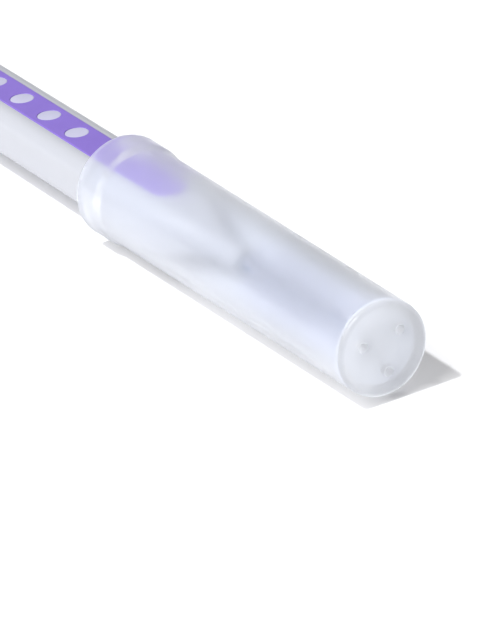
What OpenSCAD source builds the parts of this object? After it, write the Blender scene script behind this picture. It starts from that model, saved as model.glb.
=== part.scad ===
// Interdental brush with its cap on, lying along X.
// The tail of the handle is at the -X end and the closed end of the cap at the +X end.
// Z is up, the coloured grip strip faces up, and the lowest line of the cap's collar is at Z = 0.

/* [Handle] */
// Length of the handle, from its tail to the end of its neck
handle_l = 73; // [66:0.5:90]
// Width of the shoulder, the widest place ahead of the grip
shoulder_w = 7; // [6.4:0.1:8]
// Height of the shoulder
shoulder_h = 5.4; // [5:0.1:6.4]
// Corner radius of the shoulder's section
shoulder_corner_r = 1.65; // [1.2:0.05:2.2]
// Width of the grip behind the shoulder
grip_w = 6.7; // [6:0.1:7.4]
// Height of the grip
grip_h = 5.1; // [4.6:0.1:5.8]
// Corner radius of the grip's section
grip_corner_r = 1.45; // [1:0.05:1.5]
// Diameter of the neck that holds the wire
neck_d = 2.6; // [2:0.1:3.4]
// Length of the straight part of the neck
neck_l = 3.5; // [2:0.1:6]
// Rounding of the edge at the neck's end
neck_edge_r = 0.2; // [0.1:0.05:0.5]
// Length of the S-shaped taper from the shoulder down to the neck
taper_l = 9; // [7:0.25:12]
// Length over which the shoulder narrows to the grip
waist_l = 12; // [6:0.5:16]
// Length over which the grip widens again to the tail
tail_swell_l = 14; // [8:0.5:18]
// Length of the rounding at the tail
tail_round_l = 3.2; // [2:0.1:4]
// How far the rounding draws the tail in on each side
tail_round_in = 1.5; // [1:0.1:2]

/* [Grip strip] */
// Width of the coloured strip let into the top of the grip
strip_w = 3.5; // [3:0.1:3.8]
// Depth of the strip below the top of the grip
strip_depth = 0.7; // [0.5:0.05:1.2]
// How far the strip stands proud of the handle
strip_proud = 0.1; // [0.05:0.01:0.25]
// How far the strip's front end reaches past the shoulder's widest place
strip_lead = 0.75; // [0.3:0.05:1.2]
// Distance from the tail to the strip's rear end
strip_tail_gap = 7; // [5:0.5:12]
// Diameter of the white dots, which are posts of the handle
dot_d = 2.3; // [1.6:0.1:2.8]
// Distance from one dot to the next
dot_pitch = 5.38; // [4:0.01:7]
// Distance from the strip's front end to the first dot
dot_lead = 19.4; // [10:0.1:24]
// Least distance from the last dot to the strip's rear end
dot_tail_room = 2.4; // [2:0.1:5]

/* [Wire] */
// Diameter of the bare steel wire
steel_d = 0.3; // [0.24:0.01:0.34]
// Thickness of the plastic coat on the wire
coat_t = 0.04; // [0.02:0.005:0.06]
// Gap between the two coated legs, where the bristles are held
leg_gap = 0.08; // [0.07:0.005:0.12]
// Length of wire from the end of the neck to its tip
wire_out = 18.5; // [14:0.25:24]
// Length of wire held inside the neck
wire_root = 9; // [6:0.25:11]
// Length of one full turn of the twist
twist_pitch = 6.6; // [5:0.1:10]
// Radius of the bend at the tip, at the middle of the wire
tip_bend_r = 0.34; // [0.28:0.01:0.45]
// Clearance between a leg and its coat
coat_fit = 0.003; // [0.002:0.001:0.006]
// Clearance between the coated wires and the hole in the neck
socket_fit = 0.02; // [0.01:0.005:0.05]

/* [Bristles] */
// Diameter of the brush over its bristles
brush_d = 6.3; // [4:0.1:7]
// Bare wire between the neck and the first bristle
bare_root = 2.8; // [1:0.1:4]
// Coated wire between the last bristle and the bend at the tip
bare_tip = 0.1; // [0.05:0.05:1]
// Width of one bristle along the wire
strand_w = 0.055; // [0.04:0.005:0.06]
// Thickness of one bristle across the wire
strand_t = 0.06; // [0.04:0.005:0.06]
// Distance from one bristle to the next in each of the two rows
strand_pitch = 0.0765; // [0.07:0.0005:0.1]

/* [Cap] */
// Length of the cap
cap_l = 45; // [41:0.5:52]
// Wall thickness of the cap's tube
cap_wall = 0.78; // [0.6:0.02:1]
// Thickness of the cap's closed end
cap_end_t = 1.2; // [0.9:0.1:1.8]
// Clearance between the shoulder's corners and the cap's bore
cap_fit = 0.1; // [0.06:0.01:0.2]
// Growth of the cap's radius for each millimetre towards its mouth
cap_draft_share = 0.0078; // [0.004:0.0002:0.012]
// Room between the tip of the wire and the cap's closed end
tip_room = 2.3; // [1:0.1:5]
// Room between the bristles and the cap's bore
brush_room = 0.3; // [0.2:0.05:0.6]
// Rounding of the edge of the closed end
cap_edge_r = 0.7; // [0.4:0.05:0.75]
// How far the collar at the mouth stands out from the tube
collar_proud = 0.23; // [0.1:0.01:0.5]
// Length of the collar
collar_l = 4.4; // [3:0.1:7]
// Length of the slope that leads up to the collar
collar_slope_l = 1.3; // [0.6:0.1:2]
// Rounding of the lip at the mouth
lip_r = 0.35; // [0.2:0.05:0.4]
// Diameter of the three air holes in the closed end
vent_d = 0.85; // [0.5:0.05:1.2]
// Radius of the circle that the air holes lie on
vent_circle_r = 2.18; // [1.6:0.02:2.6]
// Turn of the first air hole from the horizontal, in degrees
vent_turn = 38; // [0:1:119]

/* [Hidden] */
$fn = 96;

// Rings and sides of the swept and lofted shapes
corner_points = 7;
tail_steps = 8;
taper_steps = 16;
swell_steps = 5;
wire_sides = 8;
rings_a_turn = 16;
edge_steps = 4;
flare_steps = 3;
bend_steps = 8;
round_steps = 6;
vent_count = 3;

// Overrun of cuts past the surface that they open
over = 1;

// Places along the handle, from its tail
shoulder_s = handle_l - neck_l - taper_l;
waist_s = shoulder_s - waist_l;
swell_s = min(tail_round_l + tail_swell_l, waist_s);
strip_front_s = shoulder_s + strip_lead;
strip_floor_z = grip_h / 2 - strip_depth;
strip_top_z = max(shoulder_h, grip_h) / 2 + over;
dot_count = 1 + floor((strip_front_s - dot_lead - dot_tail_room - strip_tail_gap) / dot_pitch);

// The wire: a leg's radius, its place off the axis, and places along the axis
coat_r = steel_d / 2 + coat_t;
leg_off = coat_r + leg_gap / 2;
bundle_r = leg_off + coat_r;
tip_s = handle_l + wire_out;
bend_s = tip_s - steel_d / 2 - tip_bend_r;
flare_s = bend_s - tip_bend_r;
twist_end = 360 * (flare_s - handle_l) / twist_pitch;
leg_rings = ceil((flare_s - handle_l) / twist_pitch * rings_a_turn);

// The bristles stand in two rows on the edges of a thin ribbon held between the legs
brush_start_s = handle_l + bare_root;
brush_end_s = flare_s - bare_tip;
row_count = floor((brush_end_s - brush_start_s) / strand_pitch);
ribbon_width_share = 0.75;
ribbon_half_w = bundle_r * ribbon_width_share;
fan_turn = 72;
fan_step_share = 0.618;

// The cap: its bore clears the shoulder's corners and the bristles
shoulder_reach = norm([shoulder_w / 2 - shoulder_corner_r, shoulder_h / 2 - shoulder_corner_r])
    + shoulder_corner_r;
cap_end_s = tip_s + tip_room + cap_end_t;
mouth_s = cap_end_s - cap_l;
bore_end_r = max(
    shoulder_reach + cap_fit - cap_draft_share * (cap_end_s - shoulder_s),
    brush_d / 2 + brush_room
);
tube_end_r = bore_end_r + cap_wall;
mouth_r = tube_end_r + cap_draft_share * cap_l + collar_proud;

total_l = cap_end_s;

// A smooth step from 0 to 1, and the fall of a quarter round for t from 0 to 1
function ease(t) = t <= 0 ? 0 : t >= 1 ? 1 : t * t * (3 - 2 * t);
function fall(t) = t <= 0 ? 0 : 1 - sqrt(1 - t * t);
function mix(a, b, t) = a + (b - a) * t;
function flat(lists) = [for (l = lists) each l];

// Half width, half height and corner radius of the handle at the distance s from its tail
function shoulder_sec() = [shoulder_w / 2, shoulder_h / 2, shoulder_corner_r];
function grip_sec() = [grip_w / 2, grip_h / 2, grip_corner_r];
function neck_sec() = [neck_d / 2, neck_d / 2, neck_d / 2];
function inset(s) = tail_round_in * fall(1 - s / tail_round_l)
    + neck_edge_r * fall(1 - (handle_l - s) / neck_edge_r);
function body_sec(s) = s < swell_s
    ? mix(shoulder_sec(), grip_sec(), ease((s - tail_round_l) / (swell_s - tail_round_l)))
    : s < shoulder_s
        ? mix(grip_sec(), shoulder_sec(), ease((s - waist_s) / waist_l))
        : mix(shoulder_sec(), neck_sec(), ease((s - shoulder_s) / taper_l));
function handle_sec(s) = let (b = body_sec(s), i = inset(s)) [b.x - i, b.y - i, b.z - i * b.z / b.y];

// The places of the handle's rings
handle_places = concat(
    [for (i = [0:tail_steps]) tail_round_l * (1 - cos(90 * i / tail_steps))],
    [for (i = [1:swell_steps]) mix(tail_round_l, swell_s, i / swell_steps)],
    [for (i = [0:swell_steps]) if (waist_s > swell_s || i > 0) mix(waist_s, shoulder_s, i / swell_steps)],
    [for (i = [1:taper_steps]) shoulder_s + taper_l * i / taper_steps],
    [for (i = [0:edge_steps]) handle_l - neck_edge_r * (1 - sin(90 * i / edge_steps))]
);

// One ring of the handle: four rounded corners, grown outwards by the same amount all round
function handle_ring(s, grow) = let (c = handle_sec(s)) [
    for (q = [0:3])
        for (i = [1:corner_points])
            let (
                turn = 90 * (q + (i - 0.5) / corner_points),
                side = [q == 0 || q == 3 ? 1 : -1, q < 2 ? 1 : -1]
            )
            [
                s,
                side.x * (c.x - c.z) + (c.z + grow) * cos(turn),
                side.y * (c.y - c.z) + (c.z + grow) * sin(turn)
            ]
];

// A closed surface through rings of equal counts, with flat ends
module loft(rings) {
    n = len(rings[0]);
    m = len(rings);
    polyhedron(
        points = flat(rings),
        faces = concat(
            [for (i = [1:n - 2]) [0, i, i + 1]],
            [for (i = [1:n - 2]) [(m - 1) * n, (m - 1) * n + i + 1, (m - 1) * n + i]],
            flat([
                for (j = [0:m - 2])
                    for (i = [0:n - 1])
                        let (a = j * n + i, b = j * n + (i + 1) % n)
                        [[a, a + n, b + n], [a, b + n, b]]
            ])
        )
    );
}

module handle_form(grow) {
    loft([for (s = handle_places) handle_ring(s, grow)]);
}

// Outline of the strip: a long slot with round ends
module strip_outline() {
    r = strip_w / 2;
    translate([strip_tail_gap + r, -r])
        square([strip_front_s - strip_tail_gap - 2 * r, 2 * r]);
    translate([strip_tail_gap + r, 0])
        circle(r);
    translate([strip_front_s - r, 0])
        circle(r);
}

module strip_block() {
    translate([0, 0, strip_floor_z])
        linear_extrude(strip_top_z - strip_floor_z)
            difference() {
                strip_outline();
                for (i = [0:dot_count - 1])
                    translate([strip_front_s - dot_lead - i * dot_pitch, 0])
                        circle(dot_d / 2);
            }
}

// A point of the wire's path and the outward direction there, for one leg of the twist
function leg_turn(s) = s <= handle_l ? 0 : 360 * (s - handle_l) / twist_pitch;
function outward(turn) = [0, cos(turn), sin(turn)];
function leg_places() = concat(
    [handle_l - wire_root],
    [for (i = [0:leg_rings]) mix(handle_l, flare_s, i / leg_rings)]
);
function leg_path() = [for (s = leg_places()) [[s, 0, 0] + leg_off * outward(leg_turn(s)), outward(leg_turn(s))]];
// The legs spread to the width of the bend, and the bend is a half circle round the tip
function flare_path() = [
    for (i = [1:flare_steps])
        let (t = i / (flare_steps + 1))
        [
            [mix(flare_s, bend_s, t), 0, 0] + mix(leg_off, tip_bend_r, ease(t)) * outward(twist_end),
            outward(twist_end)
        ]
];
function bend_path() = [
    for (i = [0:bend_steps])
        let (a = 90 * i / bend_steps, out = [sin(a), 0, 0] + cos(a) * outward(twist_end))
        [[bend_s, 0, 0] + tip_bend_r * out, out]
];
// The other leg is the first one turned half round the axis
function half_turn(v) = [v.x, -v.y, -v.z];
function other_leg(path) = [for (i = [len(path) - 1:-1:0]) [half_turn(path[i][0]), half_turn(path[i][1])]];

// Rings of a tube along a path of points with outward directions
function unit(v) = v / norm(v);
function along(path, i) = unit(
    path[min(i + 1, len(path) - 1)][0] - path[max(i - 1, 0)][0]
);
function tube_rings(path, r) = [
    for (i = [0:len(path) - 1])
        let (
            t = along(path, i),
            out = unit(path[i][1] - (path[i][1] * t) * t),
            across = cross(t, out)
        )
        [
            for (k = [0:wire_sides - 1])
                let (a = 360 * k / wire_sides)
                path[i][0] + r * (cos(a) * out + sin(a) * across)
        ]
];

// A tube with a bore: the outer surface, the inner surface and two ring-shaped ends
module sleeve(path, r_out, r_in) {
    n = wire_sides;
    m = len(path);
    inner = n * m;
    polyhedron(
        points = concat(flat(tube_rings(path, r_out)), flat(tube_rings(path, r_in))),
        faces = flat([
            for (i = [0:n - 1])
                let (k = (i + 1) % n, e = (m - 1) * n)
                concat(
                    flat([
                        for (j = [0:m - 2])
                            let (a = j * n + i, b = j * n + k)
                            [
                                [a, a + n, b + n],
                                [a, b + n, b],
                                [inner + a, inner + b + n, inner + a + n],
                                [inner + a, inner + b, inner + b + n]
                            ]
                    ]),
                    [
                        [i, k, inner + k],
                        [i, inner + k, inner + i],
                        [e + i, inner + e + k, e + k],
                        [e + i, inner + e + i, inner + e + k]
                    ]
                )
        ])
    );
}

// The ribbon that carries the bristles: four corners at each place, and each bristle
// grows out of the ribbon's edge, so that ribbon and bristles are one closed surface.
function ribbon_place(j) = brush_start_s + floor(j / 2) * strand_pitch + (j % 2) * strand_w;
function in_plane(s, t, n) = let (a = leg_turn(s))
    [s, -t * sin(a) + n * cos(a), t * cos(a) + n * sin(a)];
function ribbon_ring(s) = [
    for (c = [[1, 1], [1, -1], [-1, -1], [-1, 1]])
        in_plane(s, c.x * ribbon_half_w, c.y * strand_t / 2)
];
// Each bristle leans out of the ribbon's plane by its own angle within the fan
function fan(k) = let (f = k * fan_step_share) fan_turn * (2 * (f - floor(f)) - 1);
function reach(a) = let (b = ribbon_half_w * cos(a))
    sqrt(pow(brush_d / 2, 2) - pow(ribbon_half_w, 2) + b * b) - b;
function strand_tip(k, a) = let (l = reach(a)) [
    for (j = [0, 1])
        for (e = [1, -1])
            in_plane(
                ribbon_place(2 * k + j),
                ribbon_half_w + l * cos(a) - e * sin(a) * strand_t / 2,
                l * sin(a) + e * cos(a) * strand_t / 2
            )
];
function other_tip(k, a) = [for (p = strand_tip(k, a)) half_turn(p)];
function quad(a, b, c, d) = [[a, b, c], [a, c, d]];
// Corners a, b at the first place and c, d at the next, with the tip's corners from w on
function strand_faces(a, b, c, d, w) = concat(
    quad(a, w, w + 1, b),
    quad(b, w + 1, w + 3, d),
    quad(d, w + 3, w + 2, c),
    quad(c, w + 2, w, a),
    quad(w, w + 2, w + 3, w + 1)
);

module brush_form() {
    m = 2 * row_count;
    tips = 4 * m;
    polyhedron(
        points = concat(
            flat([for (j = [0:m - 1]) ribbon_ring(ribbon_place(j))]),
            flat([
                for (k = [0:row_count - 1])
                    concat(strand_tip(k, fan(k)), other_tip(k, fan(k + row_count)))
            ])
        ),
        faces = concat(
            quad(0, 1, 2, 3),
            quad(4 * m - 1, 4 * m - 2, 4 * m - 3, 4 * m - 4),
            flat([
                for (j = [0:m - 2])
                    let (a = 4 * j, k = floor(j / 2), w = tips + 8 * k)
                    concat(
                        quad(a + 1, a + 5, a + 6, a + 2),
                        quad(a + 3, a + 7, a + 4, a),
                        j % 2 == 0
                            ? concat(
                                strand_faces(a, a + 1, a + 4, a + 5, w),
                                strand_faces(a + 2, a + 3, a + 6, a + 7, w + 4)
                            )
                            : concat(
                                quad(a, a + 4, a + 5, a + 1),
                                quad(a + 2, a + 6, a + 7, a + 3)
                            )
                    )
            ])
        )
    );
}

// Outline of the cap's wall, as radius and distance from the closed end
function tube_r(d) = tube_end_r + cap_draft_share * d;
function bore_r(d) = bore_end_r + cap_draft_share * d;
function cap_outside() = concat(
    [[0, 0]],
    [
        for (i = [0:round_steps])
            let (a = 90 * i / round_steps)
            [tube_end_r - cap_edge_r * (1 - sin(a)), cap_edge_r * (1 - cos(a))]
    ],
    [
        for (i = [0:round_steps])
            let (t = i / round_steps, d = cap_l - collar_l + collar_slope_l * t)
            [tube_r(d) + collar_proud * ease(t), d]
    ],
    [
        for (i = [0:round_steps])
            let (a = 90 * i / round_steps)
            [mouth_r - lip_r * (1 - cos(a)), cap_l - lip_r * (1 - sin(a))]
    ]
);
function cap_inside() = [[bore_r(cap_l), cap_l], [bore_r(cap_end_t), cap_end_t], [0, cap_end_t]];

// Along X, with the part's middle at the origin and the collar's lowest line at Z = 0
module seat() {
    translate([-total_l / 2, 0, mouth_r])
        children();
}

// White moulded handle, with the pocket for the strip and the hole for the wire
module handle() {
    color([0.90, 0.91, 0.94])
        seat()
            difference() {
                handle_form(0);
                strip_block();
                translate([handle_l - wire_root, 0, 0])
                    rotate([0, 90, 0])
                        cylinder(h = wire_root + over, r = bundle_r + socket_fit);
            }
}

// Soft coloured strip, with holes that the handle's dots stand in
module grip_strip() {
    color([0.57, 0.48, 0.84])
        seat()
            intersection() {
                handle_form(strip_proud);
                strip_block();
            }
}

// One steel wire, bent double at the tip and twisted
module core_wire() {
    half = concat(leg_path(), flare_path(), bend_path());
    turned = other_leg(concat(leg_path(), flare_path(), bend_path()));
    path = concat(half, [for (i = [1:len(turned) - 1]) turned[i]]);
    color([0.62, 0.63, 0.66])
        seat()
            loft(tube_rings(path, steel_d / 2));
}

// Blue plastic coat on both legs, which leaves the bend bare
module wire_coating() {
    color([0.55, 0.74, 0.92])
        seat() {
            sleeve(leg_path(), coat_r, steel_d / 2 + coat_fit);
            sleeve(other_leg(leg_path()), coat_r, steel_d / 2 + coat_fit);
        }
}

// Nylon bristles, held between the two legs
module bristles() {
    color([0.88, 0.89, 0.95])
        seat()
            brush_form();
}

// Frosted cap: a drafted tube with a closed end, three air holes and a collar at its mouth
module cap() {
    color([0.84, 0.88, 0.93, 0.6])
        seat()
            translate([cap_end_s, 0, 0])
                rotate([0, -90, 0])
                    difference() {
                        rotate_extrude()
                            polygon(concat(cap_outside(), cap_inside()));
                        for (i = [0:vent_count - 1])
                            rotate([0, 0, 90 - vent_turn - 360 * i / vent_count])
                                translate([vent_circle_r, 0, -over])
                                    cylinder(h = cap_end_t + 2 * over, d = vent_d);
                    }
}

handle();
grip_strip();
core_wire();
wire_coating();
bristles();
cap();
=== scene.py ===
"""Interdental brush lying on a pale floor with its frosted cap on.

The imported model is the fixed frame. The pieces made here take their places from its boxes and from
the sizes in the property groups below, in metres, with X along the brush and Z up.
"""

import bmesh
import bpy
import numpy as np
from bpy.props import FloatProperty, FloatVectorProperty, IntProperty, PointerProperty, StringProperty
from mathutils import Matrix, Vector


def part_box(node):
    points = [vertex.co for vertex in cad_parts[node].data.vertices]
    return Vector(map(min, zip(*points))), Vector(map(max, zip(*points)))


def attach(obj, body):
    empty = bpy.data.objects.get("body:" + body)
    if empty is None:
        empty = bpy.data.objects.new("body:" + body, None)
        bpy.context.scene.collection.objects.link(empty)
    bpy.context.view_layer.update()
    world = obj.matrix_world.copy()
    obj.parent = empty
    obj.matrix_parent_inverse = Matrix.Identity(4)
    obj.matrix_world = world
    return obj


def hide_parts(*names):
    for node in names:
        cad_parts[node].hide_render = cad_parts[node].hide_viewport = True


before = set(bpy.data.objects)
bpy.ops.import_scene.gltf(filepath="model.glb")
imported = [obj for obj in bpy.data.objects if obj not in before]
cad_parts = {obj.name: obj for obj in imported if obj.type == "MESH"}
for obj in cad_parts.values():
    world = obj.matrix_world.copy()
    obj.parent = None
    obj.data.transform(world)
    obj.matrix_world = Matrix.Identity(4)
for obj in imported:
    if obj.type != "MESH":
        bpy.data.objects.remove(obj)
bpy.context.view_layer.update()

bl_info = {
    "name": "Interdental brush",
    "version": (1, 0, 0),
    "blender": (4, 5, 0),
    "location": "View3D > Sidebar > Brush",
    "description": "Builds an interdental brush with its grip strip, twisted wire, bristles and frosted cap",
    "category": "Add Mesh",
}

MM = 0.001
# The photograph's width and height in pixels, and the camera's sensor width in millimetres.
IMAGE_SIZE = (500, 625)
SENSOR = 36
# Points of a mesh nearer to each other than this are merged.
MERGED = 0.0004 * MM
# Points on the half round of each of the strip's ends.
END_POINTS = 41
# What half a turn about the brush's axis does to a direction.
HALF_TURN = np.array([1, -1, -1])
HANDLE_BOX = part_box("handle")
CAP_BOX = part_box("cap")
STRIP_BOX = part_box("grip_strip")
BRISTLE_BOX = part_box("bristles")
WIRE_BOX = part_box("core_wire")


def length(name, description, default, least=0.0):
    """A size in metres that the sidebar shows in the scene's own unit."""
    return FloatProperty(
        name=name, description=description, default=default, min=least, unit="LENGTH", precision=5
    )


def number(name, description, default):
    """A plain number."""
    return FloatProperty(name=name, description=description, default=default)


def turn(name, description, degrees):
    """An angle that the sidebar shows in degrees."""
    return FloatProperty(name=name, description=description, default=np.radians(degrees), subtype="ANGLE")


def shade(name, description, code):
    """A colour that is given as an sRGB hex code."""
    return StringProperty(name=name, description=description, default=code)


class HandleSizes(bpy.types.PropertyGroup):
    """Sizes of the handle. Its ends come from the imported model."""

    tail_x: length("Tail", "Place of the handle's tail along X", HANDLE_BOX[0].x, -1.0)
    neck_x: length("Neck end", "Place of the neck's end along X", HANDLE_BOX[1].x, -1.0)
    axis_z: length("Axis height", "Height of the brush's axis", (CAP_BOX[0].z + CAP_BOX[1].z) / 2)
    shoulder_w: length("Shoulder width", "Width of the shoulder", 7.0 * MM)
    shoulder_h: length("Shoulder height", "Height of the shoulder", 5.4 * MM)
    shoulder_r: length("Shoulder corner", "Corner radius of the shoulder's section", 1.65 * MM)
    grip_w: length("Grip width", "Width of the grip", 6.7 * MM)
    grip_h: length("Grip height", "Height of the grip", 5.1 * MM)
    grip_r: length("Grip corner", "Corner radius of the grip's section", 1.45 * MM)
    neck_d: length("Neck diameter", "Diameter of the neck", 2.6 * MM)
    neck_l: length("Neck length", "Length of the straight neck", 3.5 * MM)
    neck_round: number("Neck roundness", "The neck's corner radius as a share of its half width", 0.985)
    taper_l: length("Taper length", "Length of the S-shaped taper", 9.0 * MM)
    waist_l: length("Waist length", "Length over which the shoulder narrows", 12.0 * MM)
    swell_l: length("Tail swell", "Length over which the tail widens", 14.0 * MM)
    tail_round_l: length("Tail rounding", "Length of the tail's rounding", 3.2 * MM)
    tail_round_in: length("Tail rounding depth", "How far the rounding draws in", 1.5 * MM)
    neck_edge: length("Neck edge", "Rounding of the neck's end", 0.2 * MM)
    hole_d: length("Wire hole", "Diameter of the hole round each of the wire's ends", 0.39 * MM)
    hole_depth: length("Hole depth", "Depth of the wire's hole", 9.0 * MM)
    hole_lip: length("Hole lip", "Width of the small dimple round the wire", 0.16 * MM)
    white: shade("White", "Colour of the handle's polypropylene", "#AAACB3")
    dot_white: shade("Dot white", "Colour of the dots in the strip", "#AFAFC6")


class StripSizes(bpy.types.PropertyGroup):
    """Sizes of the soft strip and of the dots that stand in it."""

    rear_x: length("Rear end", "Place of the strip's rear end along X", STRIP_BOX[0].x, -1.0)
    front_x: length("Front end", "Place of the strip's front end along X", STRIP_BOX[1].x, -1.0)
    width: length("Width", "Width of the strip", STRIP_BOX[1].y - STRIP_BOX[0].y)
    proud: length("Height", "How far the strip stands out of the handle", 0.1 * MM)
    depth: length("Depth", "Depth of the pocket under the grip's top", 0.7 * MM)
    sunk: length("Sunk", "How far the strip's skin reaches into its pocket", 0.4 * MM)
    edge: length("Edge", "Rounding of the strip's edges", 0.11 * MM)
    hole_edge: length("Hole edge", "Rounding of the strip's edge at a dot's hole", 0.066 * MM)
    dot_d: length("Dot diameter", "Diameter of a white dot", 2.3 * MM)
    dot_pitch: length("Dot pitch", "Distance from dot to dot", 5.38 * MM)
    dot_lead: length("First dot", "Distance from the strip's front end to the first dot", 19.4 * MM)
    dot_count: IntProperty(name="Dots", description="Number of dots", default=7, min=1)
    purple: shade("Purple", "Colour of the strip's soft elastomer", "#7862B6")


class WireSizes(bpy.types.PropertyGroup):
    """Sizes of the twisted wire."""

    root_x: length("Root", "Place of the wire's ends inside the neck", WIRE_BOX[0].x, -1.0)
    tip_x: length("Tip", "Place of the wire's tip along X", WIRE_BOX[1].x, -1.0)
    steel_d: length("Steel diameter", "Diameter of the bare wire", 0.3 * MM)
    coat: length("Coat", "Thickness of the blue coat", 0.04 * MM)
    coat_clear: length("Coat clearance", "Room between the coat and the steel", 0.004 * MM)
    gap: length("Gap", "Gap between the coated legs", 0.08 * MM)
    pitch: length("Pitch", "Length of one turn of the twist", 6.6 * MM)
    bend_r: length("Bend radius", "Radius of the bend at the tip", 0.34 * MM)
    blue: shade("Blue", "Colour of the coat", "#547CAE")
    steel: shade("Steel", "Colour of the stainless steel", "#A9ABB2")


class BristleSizes(bpy.types.PropertyGroup):
    """Sizes of the nylon bristles."""

    start_x: length("Start", "Place of the first bristle along X", BRISTLE_BOX[0].x, -1.0)
    end_x: length("End", "Place of the last bristle along X", BRISTLE_BOX[1].x, -1.0)
    brush_d: length("Brush diameter", "Diameter over the bristles", BRISTLE_BOX[1].z - BRISTLE_BOX[0].z)
    filament_d: length("Filament", "Diameter of one filament", 0.06 * MM)
    count: IntProperty(name="Filaments", description="Filaments, each with two ends", default=850, min=10)
    white: shade("White", "Colour of the nylon", "#D0D4E6")


class CapSizes(bpy.types.PropertyGroup):
    """Sizes of the cap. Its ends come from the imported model."""

    end_x: length("Closed end", "Place of the closed end along X", CAP_BOX[1].x, -1.0)
    mouth_x: length("Mouth", "Place of the mouth along X", CAP_BOX[0].x, -1.0)
    bore_r: length("Bore radius", "Radius of the bore at the closed end", 3.608 * MM)
    wall: length("Wall", "Thickness of the tube's wall", 0.78 * MM)
    end_t: length("End wall", "Thickness of the closed end", 1.2 * MM)
    draft: number("Draft", "Growth of the radius towards the mouth", 0.0078)
    edge_r: length("End edge", "Rounding of the closed end", 0.45 * MM)
    corner_r: length("Inner corner", "Rounding of the bore at the closed end", 0.3 * MM)
    collar_out: length("Collar", "How far the collar stands out", 0.2275 * MM)
    collar_l: length("Collar length", "Length of the collar", 4.4 * MM)
    slope_l: length("Collar slope", "Length of the slope up to the collar", 1.3 * MM)
    lip_r: length("Lip", "Rounding of the mouth's lip", 0.35 * MM)
    mouth_r: length("Mouth rounding", "Rounding of the bore at the mouth", 0.12 * MM)
    vent_d: length("Air hole", "Diameter of an air hole", 0.85 * MM)
    vent_roll: length("Air hole rounding", "Rounding of an air hole's rims", 0.09 * MM)
    vent_ring_r: length("Air hole circle", "Radius of the circle of air holes", 2.18 * MM)
    vent_turn: turn("Air hole turn", "Turn of the first air hole", 38)
    frost: shade("Frost", "Colour of the cap's frosted polypropylene", "#F8FAFE")
    # The inside's colour is a bluer, darker copy of the outside's frost: painted bluish shade for the tube's
    # shaded inside.
    inner_frost_painted_shade: shade("Inner frost", "Colour of the cap's polypropylene on its inside", "#EDF1FB")


class StageSizes(bpy.types.PropertyGroup):
    """Camera, floor and light."""

    azimuth: turn("Azimuth", "Camera azimuth", 61.477)
    elevation: turn("Elevation", "Camera elevation", 25.57)
    roll: turn("Roll", "Camera roll", -5.628)
    distance: length("Distance", "Camera distance from the cap's closed end", 0.4)
    scale: number("Scale", "Pixels for a millimetre at the closed end", 11.84)
    end_px: FloatVectorProperty(
        name="Closed end", description="Pixel of the closed end's centre", size=2, default=(384.345, 349.845)
    )
    floor_r: length("Floor radius", "Radius of the round floor", 3.0)
    floor: shade("Floor", "Colour of the floor", "#F4F4F6")
    sky: number("Room light", "Strength of the even light of the room", 0.38)
    sun: number("Sun", "Strength of the sun that casts the main shadow", 2.25)
    side: number("Side light", "Power of the soft light at the side", 6.6)


def add_object(name, data):
    """A new object in the scene that shows a mesh, a lamp or a camera."""
    made = bpy.data.objects.new(name, data)
    bpy.context.scene.collection.objects.link(made)
    return made


# Shapes: each one is a grid of points P[row, column], joined by quads.


class Net:
    """Points and faces of one mesh, gathered from several surfaces."""

    def __init__(self):
        self.points = []
        self.faces = []
        self.slots = []
        self.count = 0

    def add(self, points, faces, slot=0):
        """Adds points with faces that count from the first of them."""
        self.points.append(np.reshape(points, (-1, 3)))
        self.faces.extend((np.asarray(faces) + self.count).tolist())
        self.slots.extend([slot] * len(faces))
        self.count += len(self.points[-1])

    def surface(self, grid, closed=False, slot=0):
        """Joins grid[i, j] to its neighbours by quads. A closed grid joins its last column to its first."""
        rows, cols = grid.shape[:2]
        i = np.arange(rows - 1)[:, None] * cols
        j = np.arange(cols if closed else cols - 1)
        k = (j + 1) % cols
        quads = np.stack([i + j, i + k, i + cols + k, i + cols + j], -1)
        self.add(grid, quads.reshape(-1, 4), slot)

    def piece(self, name, materials, sharp=40.0, depth=0.0):
        """One mesh object at the origin, its doubles merged and its faces turned outwards.

        A depth makes a sheet a solid: the sheet, the same sheet lower down, and walls between their rims.
        """
        mesh = bpy.data.meshes.new(name)
        mesh.from_pydata(np.concatenate(self.points).tolist(), [], self.faces)
        mesh.polygons.foreach_set("material_index", self.slots)
        bm = bmesh.new()
        bm.from_mesh(mesh)
        bmesh.ops.remove_doubles(bm, verts=bm.verts, dist=MERGED)
        if depth:
            made = bmesh.ops.extrude_face_region(bm, geom=bm.faces[:], use_keep_orig=True)["geom"]
            low = [part for part in made if isinstance(part, bmesh.types.BMVert)]
            bmesh.ops.translate(bm, verts=low, vec=(0, 0, -depth))
        bmesh.ops.recalc_face_normals(bm, faces=bm.faces)
        bm.to_mesh(mesh)
        bm.free()
        mesh.shade_smooth()
        mesh.set_sharp_from_angle(angle=np.radians(sharp))
        for finish in materials:
            mesh.materials.append(finish)
        return add_object(name, mesh)


def ease(t):
    """Smooth step: 0 below 0, 1 above 1, and t squared times (3 - 2t) between."""
    t = np.clip(t, 0.0, 1.0)
    return t * t * (3 - 2 * t)


def fall(t):
    """Quarter round: 1 minus the square root of (1 - t squared)."""
    t = np.clip(t, 0.0, 1.0)
    return 1 - np.sqrt(1 - t * t)


def spaced(first, last, step):
    """Evenly spaced numbers from first to last, about step apart."""
    return np.linspace(first, last, max(2, int(np.ceil(abs(last - first) / step)) + 1))


def round_share(steps):
    """Shares from 0 to 1 that lie evenly on a quarter round."""
    return np.sin(np.linspace(0, np.pi / 2, steps + 1))


def full_turn(count, start=0.0):
    """Angles that lie evenly round a circle."""
    return start + np.linspace(0, 2 * np.pi, count, endpoint=False)


def circle(angles):
    """Points (cos a, sin a) of the unit circle."""
    return np.stack([np.cos(angles), np.sin(angles)], -1)


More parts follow.
